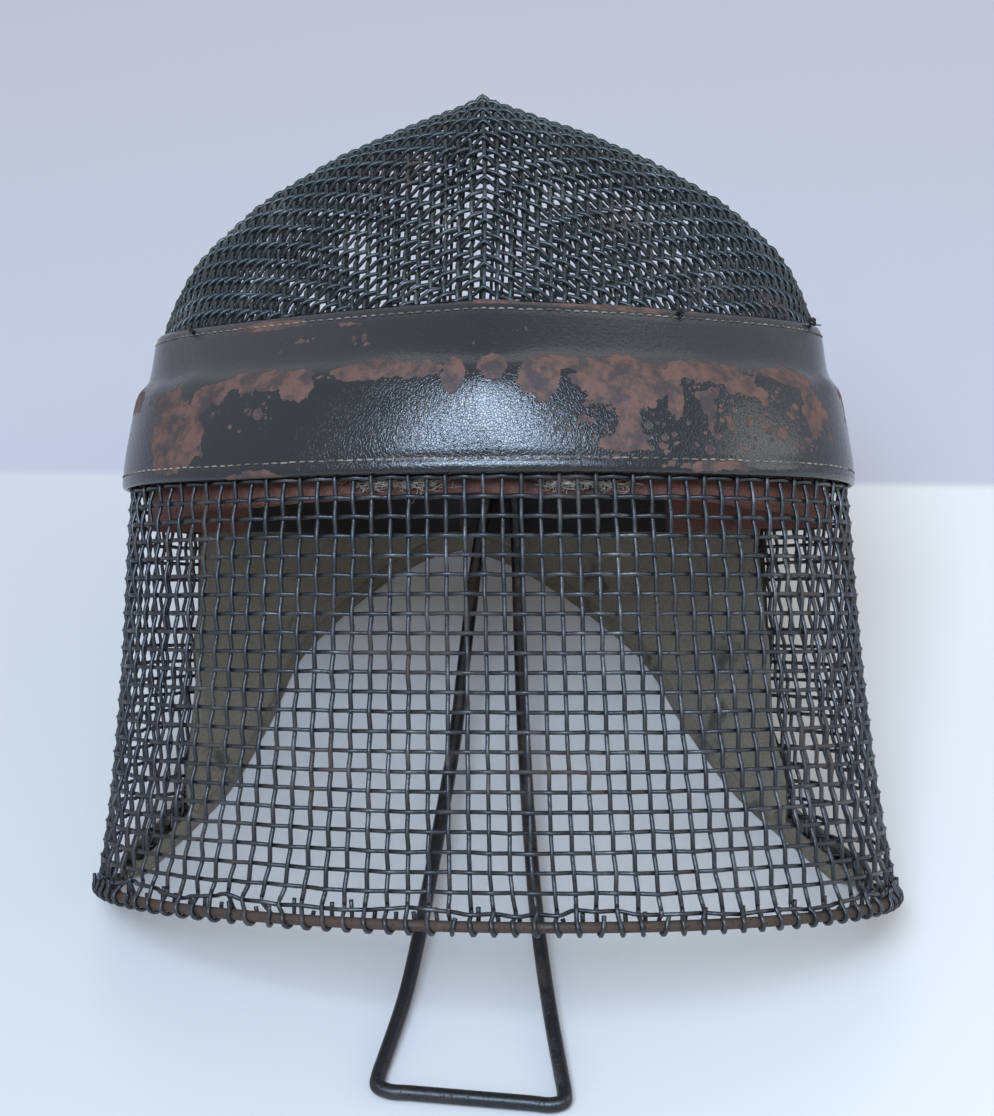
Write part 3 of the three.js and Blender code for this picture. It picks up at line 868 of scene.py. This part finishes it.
# %% [markdown]
# ## Horsehair
#
# The bands were padded with horsehair. It has worked out under the front edge in two pale
# tufts: many fine hairs, each a short curl that starts behind the mesh and wanders.

# %% Tufts of hair
HAIR = 0.1


def tuft(low_turn, high_turn, count, seed):
    draw = np.random.default_rng(seed)
    hairs = []
    for _ in range(count):
        steps = np.linspace(0, 1, 9)
        turn = draw.uniform(low_turn, high_turn) + draw.normal(scale=2.2) * steps
        turn = turn + draw.normal(scale=0.8) * np.sin(steps * draw.uniform(4, 9))
        height = 113.2 + draw.normal(scale=0.7) + draw.normal(scale=1.1) * np.sin(steps * draw.uniform(3, 8))
        out = -3.6 + draw.normal(scale=0.5) + 0.8 * np.cos(steps * draw.uniform(3, 8))
        points = off(turn, height, np.minimum(out, -2.9))
        hairs.append((points, outward(turn, height), HAIR * draw.uniform(0.7, 1.3)))
    return hairs


hairs = tuft(-19, -7, 110, 31) + tuft(8, 20, 130, 32)
hair = add_piece("horsehair_tufts", *sweep(hairs, sides=4), "brown_leather")

# %% [markdown]
# ## Effects that several finishes share
#
# Old steel and old leather wear in the same few ways: cloudy patches where a coat has gone,
# fine speckle, and a grain of tiny cells. Each is a node group with named inputs and
# outputs, built once and placed in each material with its own numbers.

# %% Helpers for node trees
def link(tree, source, target):
    tree.links.new(source, target)


def math_node(tree, operation, first, second, clamp=False):
    """A Math node whose inputs are sockets or numbers; gives back its output."""
    node = tree.nodes.new("ShaderNodeMath")
    node.operation, node.use_clamp = operation, clamp
    for socket, value in zip(node.inputs, (first, second)):
        if isinstance(value, bpy.types.NodeSocket):
            link(tree, value, socket)
        else:
            socket.default_value = value
    return node.outputs[0]


def plus(tree, first, second):
    return math_node(tree, "ADD", first, second)


def minus(tree, first, second):
    return math_node(tree, "SUBTRACT", first, second)


def times(tree, first, second):
    return math_node(tree, "MULTIPLY", first, second)


def larger(tree, first, second):
    return math_node(tree, "MAXIMUM", first, second)


def between(tree, value, low, high, to_low=0.0, to_high=1.0):
    """A smooth step of a value from one number to another."""
    node = tree.nodes.new("ShaderNodeMapRange")
    node.interpolation_type = "SMOOTHSTEP"
    link(tree, value, node.inputs["Value"])
    for name, number in (("From Min", low), ("From Max", high), ("To Min", to_low), ("To Max", to_high)):
        socket = node.inputs[name]
        if isinstance(number, bpy.types.NodeSocket):
            link(tree, number, socket)
        else:
            socket.default_value = number
    return node.outputs["Result"]


def noise(tree, place, scale, detail=3.0, roughness=0.55):
    node = tree.nodes.new("ShaderNodeTexNoise")
    node.inputs["Detail"].default_value = detail
    node.inputs["Roughness"].default_value = roughness
    link(tree, place, node.inputs["Vector"])
    if isinstance(scale, bpy.types.NodeSocket):
        link(tree, scale, node.inputs["Scale"])
    else:
        node.inputs["Scale"].default_value = scale
    return node.outputs["Fac"]


def blend_colours(tree, mask, first, second):
    """A mix of two colours; each is a socket or an (r, g, b)."""
    node = tree.nodes.new("ShaderNodeMix")
    node.data_type = "RGBA"
    link(tree, mask, node.inputs["Factor"])
    for name, colour in (("A", first), ("B", second)):
        socket = next(s for s in node.inputs if s.name == name and s.type == "RGBA")
        if isinstance(colour, bpy.types.NodeSocket):
            link(tree, colour, socket)
        else:
            socket.default_value = (*colour, 1)
    return next(s for s in node.outputs if s.type == "RGBA")


def new_group(name, inputs, outputs):
    """An empty shader node group; inputs are (name, kind, start value), outputs (name, kind)."""
    group = bpy.data.node_groups.new(name, "ShaderNodeTree")
    for label, kind, value in inputs:
        socket = group.interface.new_socket(label, in_out="INPUT", socket_type=f"NodeSocket{kind}")
        socket.default_value = value
    for label, kind in outputs:
        group.interface.new_socket(label, in_out="OUTPUT", socket_type=f"NodeSocket{kind}")
    return group, group.nodes.new("NodeGroupInput").outputs, group.nodes.new("NodeGroupOutput").inputs


def place_group(tree, group, **values):
    """Places a group in a material; underscores stand for spaces in the inputs' names."""
    node = tree.nodes.new("ShaderNodeGroup")
    node.node_tree = group
    for label, value in values.items():
        socket = node.inputs[label.replace("_", " ")]
        if isinstance(value, bpy.types.NodeSocket):
            link(tree, value, socket)
        elif isinstance(value, tuple):
            socket.default_value = (*value, 1)
        else:
            socket.default_value = value
    return node.outputs


def object_place(tree):
    return tree.nodes.new("ShaderNodeTexCoord").outputs["Object"]


# %% Groups: patches, speckle and leather grain
def make_patches():
    """Cloudy patches with ragged edges. Amount is how much of the surface they cover."""
    group, given, made = new_group("cloudy_patches", [
        ("Scale", "Float", 60.0), ("Amount", "Float", 0.4), ("Softness", "Float", 0.05)], [("Mask", "Float")])
    place = object_place(group)
    large = noise(group, place, given["Scale"], detail=2.0)
    small = noise(group, place, times(group, given["Scale"], 6.0), detail=4.0)
    mixed = plus(group, times(group, large, 0.72), times(group, small, 0.28))
    edge = minus(group, 0.78, times(group, given["Amount"], 0.56))
    mask = between(group, mixed, minus(group, edge, given["Softness"]),
                   plus(group, edge, given["Softness"]))
    link(group, mask, made["Mask"])
    return group


def make_speckle():
    """Round specks of mixed sizes, such as chips in lacquer or pits in steel."""
    group, given, made = new_group("round_specks", [
        ("Scale", "Float", 300.0), ("Size", "Float", 0.25)], [("Mask", "Float")])
    cells = group.nodes.new("ShaderNodeTexVoronoi")
    link(group, object_place(group), cells.inputs["Vector"])
    link(group, given["Scale"], cells.inputs["Scale"])
    own_size = times(group, given["Size"], times(group, cells.outputs["Color"], 1.6))
    mask = between(group, cells.outputs["Distance"], own_size, times(group, own_size, 0.8))
    link(group, mask, made["Mask"])
    return group


def make_grain():
    """Leather grain: small cells with creases between them, and longer soft wrinkles."""
    group, given, made = new_group("leather_grain", [
        ("Scale", "Float", 700.0), ("Wrinkles", "Float", 0.5)], [("Height", "Float"), ("Creases", "Float")])
    place = object_place(group)
    cells = group.nodes.new("ShaderNodeTexVoronoi")
    cells.feature = "DISTANCE_TO_EDGE"
    link(group, place, cells.inputs["Vector"])
    link(group, given["Scale"], cells.inputs["Scale"])
    creases = between(group, cells.outputs["Distance"], 0.0, 0.12, 1.0, 0.0)
    wrinkles = noise(group, place, times(group, given["Scale"], 0.12), detail=4.0)
    height = minus(group, times(group, wrinkles, given["Wrinkles"]),
                       times(group, creases, 0.35))
    link(group, height, made["Height"])
    link(group, creases, made["Creases"])
    return group


patches, speckle, grain = make_patches(), make_speckle(), make_grain()
print("node groups:", [g.name for g in (patches, speckle, grain)])

# %% [markdown]
# ## Steel
#
# The wire was once blacked. What is left is a dark skin that still shines on top of the
# waves, with brown rust in the hollows and cloudy grey where the blacking has gone. The
# same recipe makes the face wire, the crown wire and the rod, each with its own colours.

# %% Steel finishes
def new_material(name):
    material = bpy.data.materials.new(name)
    material.use_nodes = True
    tree = material.node_tree
    tree.nodes.clear()
    shader = tree.nodes.new("ShaderNodeBsdfPrincipled")
    output = tree.nodes.new("ShaderNodeOutputMaterial")
    link(tree, shader.outputs["BSDF"], output.inputs["Surface"])
    return material, tree, shader


def add_bump(tree, shader, height, distance, strength=1.0):
    bump = tree.nodes.new("ShaderNodeBump")
    bump.inputs["Strength"].default_value = strength
    bump.inputs["Distance"].default_value = distance
    link(tree, height, bump.inputs["Height"])
    link(tree, bump.outputs["Normal"], shader.inputs["Normal"])


def blacked_steel(name, blacking, bare, rust, bare_amount=0.35, rust_amount=0.4, gloss=0.36):
    material, tree, shader = new_material(name)
    bare_mask = place_group(tree, patches, Scale=70.0, Amount=bare_amount, Softness=0.12)["Mask"]
    rust_mask = place_group(tree, patches, Scale=38.0, Amount=rust_amount, Softness=0.08)["Mask"]
    pits = place_group(tree, speckle, Scale=900.0, Size=0.3)["Mask"]
    colour = blend_colours(tree, bare_mask, blacking, bare)
    colour = blend_colours(tree, rust_mask, colour, rust)
    colour = blend_colours(tree, times(tree, pits, 0.5), colour, tuple(c * 0.4 for c in rust))
    link(tree, colour, shader.inputs["Base Color"])
    dull = plus(tree, times(tree, rust_mask, 0.3), times(tree, pits, 0.12))
    link(tree, math_node(tree, "ADD", dull, gloss, clamp=True), shader.inputs["Roughness"])
    metal = minus(tree, 0.85, times(tree, rust_mask, 0.6))
    link(tree, metal, shader.inputs["Metallic"])
    fine = noise(tree, object_place(tree), 2600.0, detail=2.0)
    height = minus(tree, fine, times(tree, pits, 0.6))
    add_bump(tree, shader, height, 0.00012, 0.5)
    return material


face_steel = blacked_steel(
    "face_wire_steel", (0.062, 0.068, 0.076), (0.145, 0.15, 0.155), (0.068, 0.055, 0.047),
    bare_amount=0.32, rust_amount=0.3)
crown_steel = blacked_steel(
    "crown_wire_steel", (0.06, 0.072, 0.075), (0.14, 0.155, 0.155), (0.075, 0.056, 0.045),
    bare_amount=0.3, rust_amount=0.25, gloss=0.4)
rod_steel = blacked_steel(
    "spring_rod_steel", (0.05, 0.052, 0.056), (0.14, 0.135, 0.13), (0.07, 0.05, 0.04),
    bare_amount=0.3, rust_amount=0.3, gloss=0.34)
rim_steel = blacked_steel(
    "rim_wire_steel", (0.07, 0.062, 0.055), (0.13, 0.115, 0.1), (0.08, 0.052, 0.038),
    bare_amount=0.25, rust_amount=0.6, gloss=0.46)

# %% [markdown]
# ## Lacquered leather
#
# Patent leather is hide under a thick glossy film. The film is nearly black with a cold
# sheen and a fine wrinkle. It chips off where the band is rubbed: along the ridge of the step,
# at both edges, and in round specks. What shows there is dry reddish-brown hide. Each point
# of the band stores how worn and how chipped it is. The finish adds noise to those numbers
# and draws a sharp edge, so the patches come out ragged. Their places are set by a table and
# the small detail is invented.

# %% Lacquered band
def stored(tree, name):
    node = tree.nodes.new("ShaderNodeAttribute")
    node.attribute_name = name
    return node.outputs["Fac"]


def patent_leather():
    material, tree, shader = new_material("lacquered_band_leather")
    wear, chipping = stored(tree, "wear"), stored(tree, "chips")
    place = object_place(tree)
    ragged = plus(tree, times(tree, noise(tree, place, 230.0, detail=2.0), 1.1),
                       times(tree, noise(tree, place, 700.0, detail=2.0), 0.35))
    worn = between(tree, plus(tree, wear, ragged), 1.17, 1.23)
    spots = larger(tree, place_group(tree, speckle, Scale=230.0, Size=0.36)["Mask"],
                      place_group(tree, speckle, Scale=480.0, Size=0.3)["Mask"])
    gate = between(tree, plus(tree, chipping, noise(tree, place, 110.0)), 0.98, 1.04)
    worn = larger(tree, worn, times(tree, spots, gate))
    mottle = between(tree, noise(tree, place, 170.0, detail=5.0, roughness=0.7), 0.38, 0.62)
    hide = blend_colours(tree, mottle, (0.13, 0.063, 0.046), (0.038, 0.026, 0.025))
    scuffs = place_group(tree, patches, Scale=150.0, Amount=0.2, Softness=0.05)["Mask"]
    film = blend_colours(tree, times(tree, scuffs, 0.4), (0.006, 0.009, 0.012), (0.03, 0.036, 0.044))
    link(tree, blend_colours(tree, worn, film, hide), shader.inputs["Base Color"])
    wrinkles = noise(tree, place, 900.0, detail=3.0, roughness=0.6)
    cracks = place_group(tree, grain, Scale=1300.0, Wrinkles=1.0)
    smear = noise(tree, place, 45.0, detail=4.0)
    film_gloss = plus(tree, times(tree, smear, 0.2), 0.02)
    rough = tree.nodes.new("ShaderNodeMix")
    link(tree, worn, rough.inputs["Factor"])
    link(tree, film_gloss, rough.inputs["A"])
    rough.inputs["B"].default_value = 0.7
    link(tree, rough.outputs["Result"], shader.inputs["Roughness"])
    shader.inputs["Specular IOR Level"].default_value = 0.75
    film_height = times(tree, minus(tree, 1.0, worn), 0.9)
    fine = plus(tree, wrinkles, times(tree, cracks["Height"], 0.5))
    add_bump(tree, shader, plus(tree, film_height, fine), 0.00014, 0.8)
    return material


band_leather = patent_leather()

# %% [markdown]
# ## Plain leathers, thread and hair
#
# The leathers inside never had a film. They are dull, with a grain, painted darker in the
# creases as painted shade, and stained where sweat and rust soaked in.
# The back middle of the sweatband is painted near black, as painted shade inside the back.

# %% Plain leathers
def plain_leather(name, colour, dark, stain, grain_scale=650.0, stain_amount=0.35, back=None):
    material, tree, shader = new_material(name)
    place = object_place(tree)
    tone = blend_colours(tree, noise(tree, place, 55.0, detail=5.0), colour, dark)
    stains = place_group(tree, patches, Scale=48.0, Amount=stain_amount, Softness=0.06)["Mask"]
    tone = blend_colours(tree, times(tree, stains, 0.85), tone, stain)
    cells = place_group(tree, grain, Scale=grain_scale, Wrinkles=0.9)
    # The grain's creases are painted darker, as painted shade.
    tone = blend_colours(tree, times(tree, cells["Creases"], 0.35), tone, tuple(c * 0.5 for c in dark))
    # back: a near-black colour painted over the back middle of the band, as painted shade inside the back.
    if back:
        along = stored(tree, "along")
        left = between(tree, along, -back[0], -back[0] - 3)
        right = between(tree, along, back[1], back[1] + 3)
        tone = blend_colours(tree, larger(tree, left, right), tone, back[2])
    link(tree, tone, shader.inputs["Base Color"])
    rough = plus(tree, times(tree, noise(tree, place, 90.0), 0.3), 0.55)
    link(tree, rough, shader.inputs["Roughness"])
    shader.inputs["Specular IOR Level"].default_value = 0.35
    add_bump(tree, shader, cells["Height"], 0.0003, 0.6)
    return material


# The sweatband's back middle is painted near black, as painted shade.
sweat_leather = plain_leather(
    "sweatband_leather", (0.2, 0.088, 0.064), (0.115, 0.054, 0.044), (0.04, 0.025, 0.022),
    stain_amount=0.3, back=(205.0, 222.0, (0.018, 0.016, 0.016)))
lining_leather = plain_leather(
    "lining_leather", (0.29, 0.262, 0.2), (0.175, 0.16, 0.13), (0.055, 0.051, 0.045),
    stain_amount=0.26)
binding_leather = plain_leather(
    "binding_leather", (0.26, 0.235, 0.18), (0.15, 0.137, 0.112), (0.05, 0.045, 0.04))


def fibre(name, colour, dark, rough):
    """Thread and hair: a pale fibre that dirt darkens in places."""
    material, tree, shader = new_material(name)
    place = object_place(tree)
    dirt = place_group(tree, patches, Scale=90.0, Amount=0.5, Softness=0.12)["Mask"]
    twist = noise(tree, place, 1500.0, detail=2.0)
    tone = blend_colours(tree, dirt, colour, dark)
    tone = blend_colours(tree, times(tree, twist, 0.4), tone, tuple(c * 0.4 for c in colour))
    link(tree, tone, shader.inputs["Base Color"])
    link(tree, plus(tree, times(tree, twist, 0.2), rough), shader.inputs["Roughness"])
    add_bump(tree, shader, twist, 0.0001, 0.6)
    return material


thread_fibre = fibre("waxed_thread", (0.34, 0.3, 0.25), (0.08, 0.06, 0.05), 0.6)
knot_fibre = fibre("dark_thread", (0.05, 0.04, 0.035), (0.02, 0.018, 0.016), 0.6)
hair_fibre = fibre("pale_horsehair", (0.42, 0.37, 0.31), (0.2, 0.16, 0.12), 0.5)

# %% Put each finish on its pieces
finishes = {
    face_uprights: face_steel, face_rounds: face_steel, crown_uprights: crown_steel,
    crown_crossers: crown_steel, rim: rim_steel, spring: rod_steel, band: band_leather,
    band_stitches: thread_fibre, band_knots: knot_fibre, inner_band: sweat_leather,
    back_lining: lining_leather, bound_edge: binding_leather, hair: hair_fibre,
    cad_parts["spring_plate"]: rod_steel,
}
for piece, material in finishes.items():
    piece.data.materials.clear()
    piece.data.materials.append(material)
print(len(finishes), "pieces have their finish")

# %% [markdown]
# ## Floor and light
#
# The mask lies on pale paper. A darker tone painted on the flat floor stands for a wall
# behind it, and it looks like one only from the front. The paper is also painted lighter
# towards the right, as painted light from that side. A wide window in front and above is
# what the lacquer mirrors as one cold gleam, and two weak lights and a pale sky fill the rest.
# Powers and colours were tuned by tone readings until the look was close.

# %% Paper floor
FLOOR_HALF = 3.0
WALL_LINE = 0.131              # where the paper starts to look like a wall, behind the mask
WALL_SLANT = 0.032             # that line comes forward a little towards the right


def paper_finish():
    material, tree, shader = new_material("pale_paper")
    place = object_place(tree)
    split = tree.nodes.new("ShaderNodeSeparateXYZ")
    link(tree, place, split.inputs["Vector"])
    cloud = noise(tree, place, 3.0, detail=2.0)
    slant = times(tree, split.outputs["X"], WALL_SLANT)
    behind = between(tree, plus(tree, split.outputs["Y"], slant), WALL_LINE - 0.003, WALL_LINE + 0.003)
    # The paper is painted lighter towards the right: a painted pool of light from that side.
    lit_right_side = between(tree, split.outputs["X"], -0.3, 0.35)
    floor_tone = blend_colours(tree, lit_right_side, (0.64, 0.64, 0.64), (0.86, 0.845, 0.81))
    floor_tone = blend_colours(tree, times(tree, cloud, 0.12), floor_tone, (0.5, 0.52, 0.56))
    colour = blend_colours(tree, behind, floor_tone, (0.555, 0.55, 0.6))
    link(tree, colour, shader.inputs["Base Color"])
    shader.inputs["Roughness"].default_value = 0.75
    shader.inputs["Specular IOR Level"].default_value = 0.25
    return material


floor_mesh = bpy.data.meshes.new("paper_floor")
floor_mesh.from_pydata([(x * FLOOR_HALF, y * FLOOR_HALF, 0) for x, y in ((-1, -1), (1, -1), (1, 1), (-1, 1))],
                       [], [(0, 1, 2, 3)])
floor = bpy.data.objects.new("paper_floor", floor_mesh)
bpy.context.scene.collection.objects.link(floor)
floor.data.materials.append(paper_finish())
floor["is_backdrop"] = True

# %% Lights
def soft_light(name, azimuth, elevation, distance, size, power, colour):
    """A rectangular light that looks at the middle of the mask."""
    low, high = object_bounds()
    target = (low + high) / 2
    a, e = np.radians(azimuth), np.radians(elevation)
    away = Vector((np.sin(a) * np.cos(e), -np.cos(a) * np.cos(e), np.sin(e)))
    light = bpy.data.objects.new(name, bpy.data.lights.new(name, "AREA"))
    light.data.shape = "RECTANGLE"
    light.data.size, light.data.size_y = size
    light.data.energy, light.data.color = power, colour
    light.location = target + away * distance
    light.rotation_mode = "QUATERNION"
    light.rotation_quaternion = (-away).to_track_quat("-Z", "Y")
    bpy.context.scene.collection.objects.link(light)


LIGHTS = (                     # azimuth, elevation, distance, size, power, colour
    ("wide_window", -8, 60, 1.5, (0.8, 0.5), 21, (0.6, 0.76, 1.0)),
    ("back_light", 176, 40, 1.6, (1.4, 0.7), 2, (1.0, 0.99, 0.95)),
    ("right_light", 92, 24, 1.9, (1.2, 0.8), 5, (1.0, 0.98, 0.94)),
)
for row in LIGHTS:
    soft_light(*row)
print("lights:", [row[0] for row in LIGHTS])

world = bpy.data.worlds.new("cool_room")
world.use_nodes = True
world.node_tree.nodes["Background"].inputs["Color"].default_value = (0.96, 0.97, 1.0, 1)
world.node_tree.nodes["Background"].inputs["Strength"].default_value = 0.6
bpy.context.scene.world = world
bpy.context.scene.view_settings.view_transform = "Standard"

# %% [markdown]
# ## Last measures
#
# The finished pieces have to stay in the room that the model gives them, so both boxes are
# written down for comparison before the scene is closed.

# %% Print the sizes of both boxes
shown_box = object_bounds()
for name, (low, high) in (("model", cad_box), ("pieces", shown_box)):
    print(name, "sizes in mm:", [round((h - l) / MM, 1) for l, h in zip(low, high)])
